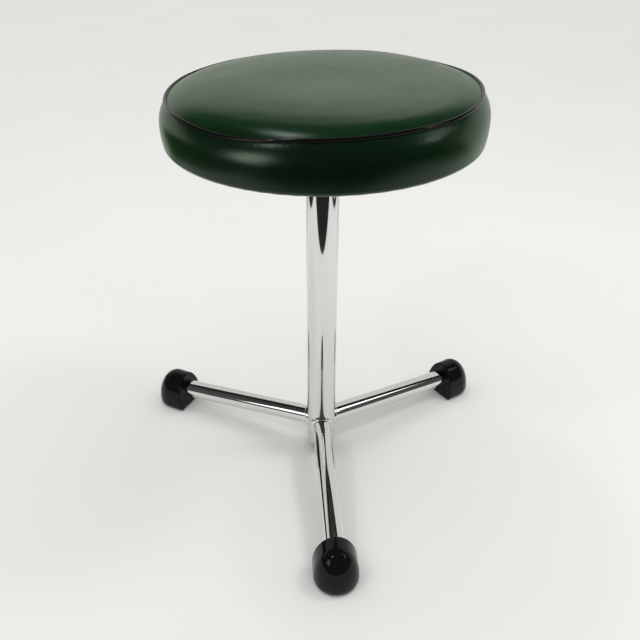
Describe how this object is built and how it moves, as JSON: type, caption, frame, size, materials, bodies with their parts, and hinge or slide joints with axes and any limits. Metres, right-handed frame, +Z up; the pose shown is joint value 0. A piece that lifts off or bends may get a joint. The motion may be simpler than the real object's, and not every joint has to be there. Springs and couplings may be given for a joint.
{
  "type": "stool",
  "caption": "Low swivel stool with a round piped vinyl cushion on a chromed column and three sloping tube legs that end in black moulded dome feet.",
  "frame": {"origin": "on the floor, on the axis of the column", "axes": "+Z up along the column, front leg along -Y, +X to the right of someone facing the front leg"},
  "size_m": [0.4616, 0.4386, 0.503],
  "materials": {
    "green_vinyl": "smooth satin leathercloth with a fine grain",
    "black_piping": "glossy",
    "foam": "open cell",
    "plywood": "sanded birch",
    "dust_cloth": "matte woven",
    "zinc_steel": "zinc plated",
    "black_steel": "satin black",
    "bare_steel": "turned and oiled",
    "nylon": "natural",
    "chrome": "polished",
    "black_plastic": "moulded, glossy"
  },
  "bodies": {
    "base": {"column_tube": "chrome", "column_end_plug": "black_plastic", "upper_bush": "nylon", "lower_bush": "nylon", "thrust_washer": "nylon", "leg_tube_front": "chrome", "leg_tube_left": "chrome", "leg_tube_right": "chrome", "leg_weld_front": "chrome", "leg_weld_left": "chrome", "leg_weld_right": "chrome", "foot_front": "black_plastic", "foot_left": "black_plastic", "foot_right": "black_plastic"},
    "seat": {"seat_top_cover": "green_vinyl", "seat_side_band": "green_vinyl", "seat_piping": "black_piping", "seat_foam": "foam", "seat_board": "plywood", "seat_dust_cover": "dust_cloth", "cover_staples": "zinc_steel", "seat_plate": "black_steel", "seat_plate_screws": "zinc_steel", "seat_tee_nuts": "zinc_steel", "swivel_spindle": "bare_steel", "spindle_weld": "black_steel", "spindle_circlip": "bare_steel"}
  },
  "joints": [
    {"name": "seat_swivel", "type": "hinge", "parent": "base", "child": "seat", "pos_m": [0, 0, 0.43], "axis": [0, 0, 1], "continuous": true}
  ]
}
